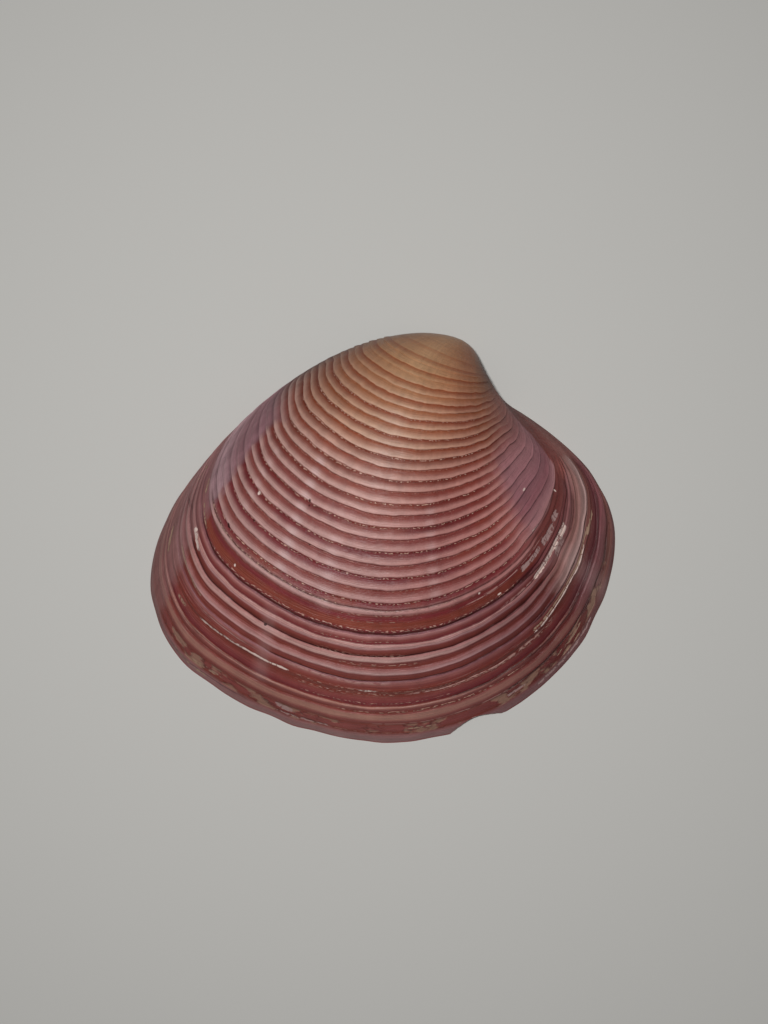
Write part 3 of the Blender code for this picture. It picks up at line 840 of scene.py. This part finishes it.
# Single chips and specks: place, share, half width and half height
PALE_SPECKS = [
    (2.38, 0.585, 0.035, 0.0042), (7.35, 0.704, 0.03, 0.0028), (7.72, 0.73, 0.05, 0.002),
    (10.02, 0.69, 0.02, 0.006), (9.32, 0.577, 0.05, 0.003), (2.55, 0.725, 0.02, 0.003),
]
DARK_SPECKS = [
    (2.55, 0.6305, 0.022, 0.0022), (3.37, 0.7895, 0.03, 0.0035), (2.1, 0.677, 0.05, 0.004),
    (3.53, 0.534, 0.03, 0.0035), (3.55, 0.542, 0.02, 0.002), (3.8, 0.606, 0.025, 0.0012),
]
# Shares and places with dried, cracked skin near the margin, with their soft ends
CRACKED_SHARES = (0.952, 0.974, 0.004)
CRACKED_PLACES = [(1.9, 4.5, 0.4), (7.1, 9.2, 0.3), (5.6, 6.2, 0.1)]
# Finish of the outside, and the depth in millimetres of the finest relief outside and inside
OUTSIDE_SPECULAR = 0.35
OUTSIDE_IOR = 1.38
OUTSIDE_RELIEF = 0.12
INSIDE_RELIEF = 0.08


class Surface:
    """One material's nodes. Each method adds a node and returns the socket that holds its result."""

    def __init__(self, name):
        self.material = bpy.data.materials.new(name)
        self.material.use_nodes = True
        self.nodes = self.material.node_tree.nodes
        self.links = self.material.node_tree.links
        self.shader = self.nodes["Principled BSDF"]

    def feed(self, socket, value):
        if isinstance(value, bpy.types.NodeSocket):
            self.links.new(value, socket)
        else:
            socket.default_value = value

    def node(self, kind, inputs, **settings):
        """Outputs of a new node of that kind, with its settings, and its inputs by name or number."""
        node = self.nodes.new("ShaderNode" + kind)
        for name, value in settings.items():
            setattr(node, name, value)
        for name, value in inputs.items():
            self.feed(node.inputs[name], value)
        return node.outputs

    def attribute(self, name):
        return self.node("Attribute", {}, attribute_name=name)["Fac"]

    def math(self, operation, *values):
        return self.node("Math", dict(enumerate(values)), operation=operation)[0]

    def add(self, first, second):
        return self.math("ADD", first, second)

    def times(self, first, second):
        return self.math("MULTIPLY", first, second)

    def added(self, *weighted):
        """Sum of fields, each given with its weight."""
        total = 0.0
        for weight, field in weighted:
            total = self.math("MULTIPLY_ADD", field, weight, total)
        return total

    def step(self, value, low, high, bottom=0.0, top=1.0):
        """Smooth rise from bottom to top while the value goes from low to high."""
        given = {"Value": value, "From Min": low, "From Max": high, "To Min": bottom, "To Max": top}
        return self.node("MapRange", given, interpolation_type="SMOOTHSTEP")["Result"]

    def window(self, value, low, high, soft):
        """One between low and high, fading to nought within the soft edge on either side."""
        return self.times(self.step(value, low - soft, low), self.step(value, high, high + soft, 1.0, 0.0))

    def stops(self, value, stops):
        """Colour and opacity at those values, with even changes between."""
        low, high = stops[0][0], stops[-1][0]
        share = self.math("DIVIDE", self.math("SUBTRACT", value, low), high - low)
        node = self.nodes.new("ShaderNodeValToRGB")
        elements = node.color_ramp.elements
        for spare in list(elements)[1:]:
            elements.remove(spare)
        for index, (place, colour) in enumerate(stops):
            position = (place - low) / (high - low)
            element = elements[0] if index == 0 else elements.new(position)
            element.position = position
            element.color = colour
        self.feed(node.inputs["Fac"], share)
        return node.outputs

    def ramp(self, value, colours):
        return self.stops(value, colours)["Color"]

    def curve(self, value, numbers):
        return self.stops(value, [(place, (0, 0, 0, number)) for place, number in numbers])["Alpha"]

    def mix(self, share, first, second, blend="MIX"):
        """The first colour where the share is nought, and the second where it is one."""
        return self.node("Mix", {0: share, 6: first, 7: second}, data_type="RGBA", blend_type=blend)[2]

    def blend(self, share, first, second):
        """The first number where the share is nought, and the second where it is one."""
        return self.node("Mix", {0: share, 2: first, 3: second}, data_type="FLOAT")[0]

    def brighter(self, colour, times):
        """The colour, so many times as bright."""
        given = {0: times, 6: (0, 0, 0, 1), 7: colour}
        return self.node("Mix", given, data_type="RGBA", clamp_factor=False)[2]

    def noise(self, vector, scale=1.0, detail=2.0):
        """Noise centred on nought, mostly between -0.5 and 0.5."""
        given = {"Vector": vector, "Scale": scale, "Detail": detail}
        return self.math("SUBTRACT", self.node("TexNoise", given)["Fac"], 0.5)

    def finish(self, colour, dull, relief, depth):
        """Joins colour, roughness, and relief of that depth in metres between nought and one."""
        self.feed(self.shader.inputs["Base Color"], colour)
        self.feed(self.shader.inputs["Roughness"], dull)
        bump = self.node("Bump", {"Distance": depth, "Height": relief})
        self.feed(self.shader.inputs["Normal"], bump["Normal"])
        return self.material


class Skin(Surface):
    """The outside's nodes, with its growth coordinates and the noises that several patterns share."""

    def __init__(self, name):
        super().__init__(name)
        self.share = self.attribute("growth")
        self.place = self.attribute("place")
        self.rib = self.attribute("rib")
        self.lines = self.node("UVMap", {}, uv_map="lines")["UV"]
        self.cloud = self.field(0.8, 9.0, level=4.0)
        self.mottle = self.field(4.0, 60.0, level=6.0, detail=4.0)
        self.ragged = self.field(7.0, 45.0, detail=4.0)
        self.striae = self.field(1.2, 420.0, level=8.0, detail=3.0)
        self.grain = self.field(30.0, 260.0, level=9.0, detail=2.0)
        self.torn = self.field(12.0, 170.0, level=20.0, detail=4.0)
        # Tiny raised beads, which also carry painted glints
        self.glint_beads = self.step(self.field(16.0, 400.0, level=30.0, detail=0.0), 0.02, 0.09)

    def field(self, per_place, per_share, level=0.0, detail=2.0):
        """Noise laid along the growth lines, with so many lumps in a unit of place and of share."""
        return self.noise(self.laid(per_place, per_share, level), 1.0, detail)

    def laid(self, per_place, per_share, level):
        """Place and share, scaled for a texture, at a level that sets it apart from the others."""
        given = {"Vector": self.lines, "Location": (0.0, 0.0, level), "Scale": (per_place, per_share, 1.0)}
        return self.node("Mapping", given)[0]

    def thin(self, name, jag):
        """Cover of thin marks, which stray from their line by so many half widths."""
        off = self.math("MULTIPLY_ADD", self.mottle, jag, self.attribute(name + "_offset"))
        across = self.step(self.math("ABSOLUTE", off), 0.6, 1.3, 1.0, 0.0)
        return self.times(across, self.attribute(name + "_strength"))

    def specks(self, marks):
        """Cover of single small marks."""
        total = 0.0
        for place, share, half_width, half_height in marks:
            across = self.math("DIVIDE", self.math("SUBTRACT", self.place, place), half_width)
            down = self.math("DIVIDE", self.math("SUBTRACT", self.share, share), half_height)
            off = self.add(self.times(across, across), self.times(down, down))
            off = self.add(off, self.times(self.ragged, 1.2))
            total = self.math("MAXIMUM", total, self.step(off, 0.5, 1.1, 1.0, 0.0))
        return total


def rib_colours(skin):
    """Colour of the ribs, part passed of a strong and weak rib, paleness of the crest, and cover of the
    painted glints in the hollows.
    """
    share, place, step = skin.share, skin.place, skin.step
    turn = skin.added((1.0, skin.rib), (0.055, skin.ragged), (0.02, skin.grain))
    turn = skin.add(turn, -RIB_EDGE)
    part = skin.math("FRACT", turn)
    half = skin.math("FRACT", skin.times(turn, 2.0))
    strong = skin.math("LESS_THAN", part, 0.5)
    young, grown = (skin.curve(half, crest) for crest in (YOUNG_CREST, GROWN_CREST))
    crest = skin.blend(step(share, *YOUNG_TO_GROWN), young, grown)
    dark = skin.mix(strong, skin.ramp(share, WEAK_HOLLOWS), skin.ramp(share, STRONG_HOLLOWS))
    browner = skin.times(step(skin.cloud, *BROWN_CLOUDS), step(share, *BROWN_SHARES))
    dark = skin.mix(browner, dark, ORANGE_BROWN)
    faded = skin.times(step(place, *FADED_PLACES), step(share, *FADED_SHARES))
    dark = skin.mix(faded, dark, DUSTY_PINK)
    glint_hollows = skin.added((1.0 - WEAK_GLINT, strong), (1.0, WEAK_GLINT))
    for value, glint_window in ((half, GLINT_PART), (place, GLINT_PLACES), (share, GLINT_SHARES)):
        glint_hollows = skin.times(glint_hollows, skin.window(value, *glint_window))
    return skin.mix(crest, dark, skin.ramp(share, CREST_COLOURS)), part, crest, glint_hollows


def band_colours(skin):
    """Uneven bands between the last rib and the margin."""
    moved = skin.added((1.0, skin.share), (0.0022, skin.ragged), (0.001, skin.grain))
    inner, outer = (skin.ramp(moved, bands) for bands in BANDS)
    return skin.mix(skin.math("GREATER_THAN", moved, BANDS[1][0][0]), inner, outer)


def painted_side_shading(skin, colour):
    """Painted shade: the colours deepen away from the middle of the flank, which stays paler as a painted
    sheen.
    """
    # Painted shade towards the flank's sides and a painted sheen at its middle
    young, ribs, margin = (skin.ramp(skin.place, tones) for tones in (YOUNG_PAINTED_SHADING, RIB_PAINTED_SHADING, MARGIN_PAINTED_SHADING))
    painted_shading = skin.mix(skin.step(skin.share, *YOUNG_TO_GROWN_PAINTED_SHADING), young, ribs)
    painted_shading = skin.mix(skin.step(skin.share, *RIBS_TO_BANDS), painted_shading, margin)
    return skin.mix(1.0, colour, painted_shading, "MULTIPLY")


def rear_slope(skin, colour, part):
    """Mauve rear slope, on which the ribs only go on faintly."""
    share, place, step = skin.share, skin.place, skin.step
    edge = skin.added((1.0, place), (0.3, skin.ragged), (-1.4, step(share, 0.5, 0.4)))
    young = step(skin.added((1.0, place), (0.6, skin.ragged)), *YOUNG_REAR_EDGE)
    cover = skin.blend(step(share, 0.44, 0.5), young, step(edge, *REAR_EDGE))
    cover = skin.times(cover, step(share, *REAR_WEAKENS))
    lines = skin.blend(step(share, 0.68, 0.7), skin.curve(part, REAR_SHADES), 0.5)
    # Painted light and shade on the rear slope: on the young shell it darkens towards the rear end as painted
    # shade, on the grown shell it brightens there as painted light
    shade = skin.blend(step(share, 0.44, 0.56), step(place, *YOUNG_REAR_LIGHT), step(place, *REAR_LIGHT))
    streaks = skin.field(5.0, 4.0, level=14.0, detail=4.0)
    lighter = skin.times(shade, skin.added((0.75, streaks), (1.2, lines), (1.0, 0.4)))
    return skin.mix(cover, colour, skin.brighter(skin.ramp(share, REAR_COLOURS), lighter))


def front_plates(skin, colour, part):
    """Mauve plates before the flank, with a dark line where each comes out from under the next."""
    share, place, step = skin.share, skin.place, skin.step
    edge = skin.added((1.0, place), (0.35, skin.ragged), (0.3, skin.mottle))
    cover = skin.blend(step(share, 0.4, 0.47), step(edge, *YOUNG_PLATES_EDGE), step(edge, *PLATES_EDGE))
    plate = skin.blend(step(share, 0.684, 0.69), skin.curve(part, PLATE_SHADES), PLAIN_PLATE)
    plate = skin.blend(step(share, 0.3, 0.42), PLAIN_PLATE, plate)
    outer = skin.times(step(place, 9.7, 10.7, 0.0, 0.42), skin.window(share, 0.9, 0.97, 0.015))
    plate = skin.times(plate, skin.add(outer, 1.0 / PLAIN_PLATE))
    return skin.mix(cover, colour, skin.brighter(skin.ramp(share, FRONT_COLOURS), plate))


def lunule(skin, colour):
    """Smooth brown field before the beak. Its edge runs back where the bands near the margin start."""
    edge = skin.added((2.0, skin.curve(skin.share, LUNULE_EDGE)), (1.0, LUNULE_FIRST_PLACE))
    off = skin.math("SUBTRACT", skin.added((1.0, skin.place), (0.25, skin.ragged)), edge)
    # Painted shade: the lunule darkens past place 11.3, where it turns away at the outline
    field = skin.brighter(skin.ramp(skin.share, LUNULE_COLOURS), skin.step(skin.place, *LUNULE_LIGHT))
    return skin.mix(skin.step(off, -0.06, 0.16), colour, field)


def cracked_skin(skin):
    """Cover of dried skin near the margin, and of the cracks in it."""
    given = {"Vector": skin.laid(6.0, 130.0, 0.0), "Scale": 1.0, "Randomness": 0.85}
    cells = skin.node("TexVoronoi", given, feature="DISTANCE_TO_EDGE")
    here = skin.window(skin.share, *CRACKED_SHARES)
    flank = 0.0
    for first, last, soft in CRACKED_PLACES:
        flank = skin.math("MAXIMUM", flank, skin.window(skin.place, first, last, soft))
    level = skin.added((1.0, skin.field(3.2, 42.0, level=40.0, detail=4.0)), (0.16, flank))
    scales = skin.times(skin.step(level, 0.12, 0.22), here)
    cracks = skin.times(skin.step(cells["Distance"], 0.02, 0.1, 1.0, 0.0), here)
    return scales, skin.times(cracks, skin.step(level, 0.02, 0.16))


def flaked_cover(skin, name):
    """Cover of flakes with torn edges."""
    flakes = skin.attribute(name)
    whole = skin.step(skin.added((1.0, flakes), (1.1, skin.torn)), 0.4, 0.6)
    return skin.times(whole, skin.step(flakes, 0.05, 0.25))


def shell_outside():
    """Ribs, bands and fields, one over the other, then the marks and flakes that lie on them."""
    skin = Skin("shell_outside")
    mix, times = skin.mix, skin.times
    ribbed, part, crest, glint_hollows = rib_colours(skin)
    colour = mix(skin.step(skin.share, *RIBS_END), ribbed, band_colours(skin))
    colour = painted_side_shading(skin, colour)
    colour = rear_slope(skin, colour, part)
    colour = front_plates(skin, colour, part)
    colour = lunule(skin, colour)

    rays = skin.field(5.0, 1.5, level=12.0, detail=3.0)
    uneven = skin.added((0.35, skin.cloud), (0.4, skin.mottle), (0.4, skin.striae), (0.25, skin.grain))
    colour = skin.brighter(colour, skin.added((0.26, rays), (1.0, uneven), (1.0, 1.0)))
    # Pale streaks, with one painted highlight among them
    ray_and_sheen = times(skin.attribute("ray_and_sheen"), skin.blend(skin.step(skin.share, 0.69, 0.7), crest, 0.6))
    colour = mix(ray_and_sheen, colour, RAY_AND_SHEEN)

    lines = skin.thin("dark", 2.2)
    colour = mix(lines, colour, DARK_LINE)
    # Thin pale lines are painted highlights on small ridges, which the relief also raises a little
    broken = skin.step(skin.field(9.0, 120.0, level=50.0), -0.14, 0.04)
    thin = times(skin.thin("pale", 0.8), broken)
    colour = mix(thin, colour, PALE_CREST)
    # Painted glints: the glint colour on the beads in the hollows and along the beaded lines, which are also
    # raised and glossier
    glint_beads = times(skin.math("MAXIMUM", glint_hollows, skin.thin("bead", 0.8)), skin.glint_beads)
    colour = mix(times(glint_beads, GLINT_COVER), colour, GLINT)
    scales, cracks = cracked_skin(skin)
    colour = mix(times(cracks, CRACK_COVER), colour, DARK_LINE)
    colour = mix(times(scales, SCALE_COVER), colour, CREAM)
    tears = skin.math("ABSOLUTE", skin.field(5.0, 12.0, level=24.0, detail=3.0))
    untorn = skin.step(tears, 0.004, 0.02, 0.15, 1.0)
    flaked = 0.0
    for name, flake_colour in (("tan_flake", CREAM), ("grey_flake", ASH), ("chalky_flake", CHALK)):
        cover = times(flaked_cover(skin, name), untorn)
        colour = mix(times(cover, FLAKE_COVER), colour, flake_colour)
        flaked = skin.math("MAXIMUM", flaked, cover)
    colour = mix(skin.specks(PALE_SPECKS), colour, CHALK)
    colour = mix(skin.specks(DARK_SPECKS), colour, DARK_LINE)
    skin.shader.inputs["Specular IOR Level"].default_value = OUTSIDE_SPECULAR
    skin.shader.inputs["IOR"].default_value = OUTSIDE_IOR

    rough = skin.math("MAXIMUM", flaked, scales)
    sides = skin.math("SUBTRACT", 1.0, skin.window(skin.place, 1.6, 9.4, 1.6))
    dull = skin.added((0.2, skin.cloud), (0.3, rough), (-0.14, glint_beads), (0.16, sides), (1.0, 0.34))
    relief = skin.added(
        (1.0, glint_beads), (0.8, skin.striae), (0.6, skin.mottle), (0.25, skin.grain), (-0.5, rough),
        (-0.6, lines), (0.4, thin),
    )
    return skin.finish(colour, dull, relief, OUTSIDE_RELIEF * MM)


# Inside colours, and the muscle scars: middle in the plan, half width and half height
INSIDE_RIM = paint(176, 146, 134)
INSIDE_GLOSSY = paint(204, 186, 172)
INSIDE_DEEP = paint(200, 184, 172)
INSIDE_FLUSH = paint(150, 104, 112)
INSIDE_SCAR = paint(186, 166, 152)
# The line that the mantle leaves: its distance from the margin, and how far its bay goes in at the rear
PALLIAL_DEPTH = 7.6
PALLIAL_BAY = 7.0
SCARS = [((19.0, -2.0), 3.6, 5.4), ((-20.0, -4.5), 4.2, 5.2)]


def scar_cover(skin, spot, cloud):
    """One within the two muscle scars."""
    split = skin.node("SeparateXYZ", {0: spot})
    scarred = 0.0
    for middle, *halves in SCARS:
        squares = []
        for axis in (0, 1):
            off = skin.math("SUBTRACT", split[axis], (middle[axis] - VALVE_MIDDLE[axis]) * MM)
            off = skin.math("DIVIDE", off, halves[axis] * MM)
            squares.append(skin.times(off, off))
        off = skin.add(skin.add(*squares), skin.times(cloud, 0.5))
        scarred = skin.math("MAXIMUM", scarred, skin.step(off, 0.85, 1.1, 1.0, 0.0))
    return scarred


def shell_inside():
    """Dull rim, pale glossy wall with the mantle's line and the muscle scars, and a flush at the hinge."""
    skin = Surface("shell_inside")
    step, times = skin.step, skin.times
    spot = skin.node("TexCoord", {})["Object"]
    depth = skin.attribute("depth")
    place = skin.attribute("place")
    cloud = skin.noise(spot, 90.0, 3.0)
    bay = times(skin.window(place, 1.0, 1.6, 1.5), PALLIAL_BAY)
    wander = times(skin.noise(spot, 45.0, 2.0), 1.6)
    line = skin.math("SUBTRACT", depth, skin.added((1.0, bay), (1.0, wander), (1.0, PALLIAL_DEPTH)))
    colour = skin.mix(step(depth, 0.6, 2.6), INSIDE_RIM, INSIDE_GLOSSY)
    deep = step(line, -0.3, 0.6)
    colour = skin.mix(deep, colour, INSIDE_DEEP)
    colour = skin.mix(skin.window(line, -0.25, 0.15, 0.35), colour, INSIDE_SCAR)
    scarred = scar_cover(skin, spot, cloud)
    colour = skin.mix(times(scarred, 0.7), colour, INSIDE_SCAR)
    hinge = skin.window(place, 11.6, 14.6, 1.2)
    rear = times(skin.window(place, -2.6, 1.0, 1.2), step(depth, 16.0, 3.0))
    flush = skin.math("MAXIMUM", times(hinge, step(depth, 12.0, 3.0)), rear)
    flush = times(flush, step(cloud, -0.25, 0.15, 0.25, 0.75))
    colour = skin.mix(flush, colour, INSIDE_FLUSH)
    across = skin.node("CombineXYZ", {"X": times(depth, 2.2), "Y": times(place, 0.4)})[0]
    rings = skin.noise(across, 1.0, 3.0)
    colour = skin.brighter(colour, skin.added((0.25, cloud), (0.16, rings), (1.0, 1.0)))
    dull = skin.added((0.2, cloud), (0.14, deep), (-0.08, scarred), (1.0, 0.26))
    fine = skin.noise(spot, 1500.0, 3.0)
    relief = skin.added((0.5, fine), (0.6, rings), (-1.2, scarred), (-0.8, deep))
    return skin.finish(colour, dull, relief, INSIDE_RELIEF * MM)


def make_floor():
    half = FLOOR_HALF * MM
    corners = [(-half, -half, 0), (half, -half, 0), (half, half, 0), (-half, half, 0)]
    mesh = bpy.data.meshes.new("floor")
    mesh.from_pydata(corners, [], [(0, 1, 2, 3)])
    surface = Surface("floor")
    surface.shader.inputs["Base Color"].default_value = (0.66, 0.65, 0.62, 1.0)
    surface.shader.inputs["Roughness"].default_value = 0.9
    mesh.materials.append(surface.material)
    floor = bpy.data.objects.new("floor", mesh)
    bpy.context.scene.collection.objects.link(floor)


def make_lamp():
    lamp = bpy.data.lights.new("lamp", "AREA")
    lamp.shape = "DISK"
    lamp.size = LAMP_WIDTH * MM
    lamp.energy = LAMP_POWER
    light = bpy.data.objects.new("lamp", lamp)
    light.location = Vector(LAMP_PLACE) * MM
    light.rotation_euler = (-light.location).to_track_quat("-Z", "Y").to_euler()
    bpy.context.scene.collection.objects.link(light)


def make_world():
    world = bpy.data.worlds.new("studio")
    world.use_nodes = True
    world.node_tree.nodes["Background"].inputs["Color"].default_value = (1.0, 0.99, 0.97, 1.0)
    world.node_tree.nodes["Background"].inputs["Strength"].default_value = SURROUNDINGS
    bpy.context.scene.world = world


def make_camera():
    data = bpy.data.cameras.new("camera")
    data.lens = CAMERA_LENS
    data.sensor_width = SENSOR_WIDTH
    data.clip_start = 0.01
    camera = bpy.data.objects.new("camera", data)
    camera.location = (Vector((0.0, 0.0, CAMERA_HEIGHT)) - Vector(VALVE_MIDDLE)) * MM
    bpy.context.scene.collection.objects.link(camera)
    bpy.context.scene.camera = camera


shell = make_valve([shell_outside(), shell_inside()])
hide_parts("right_valve")
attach(shell, "root")
make_floor()
make_lamp()
make_world()
make_camera()
bpy.context.scene.view_settings.view_transform = "Standard"
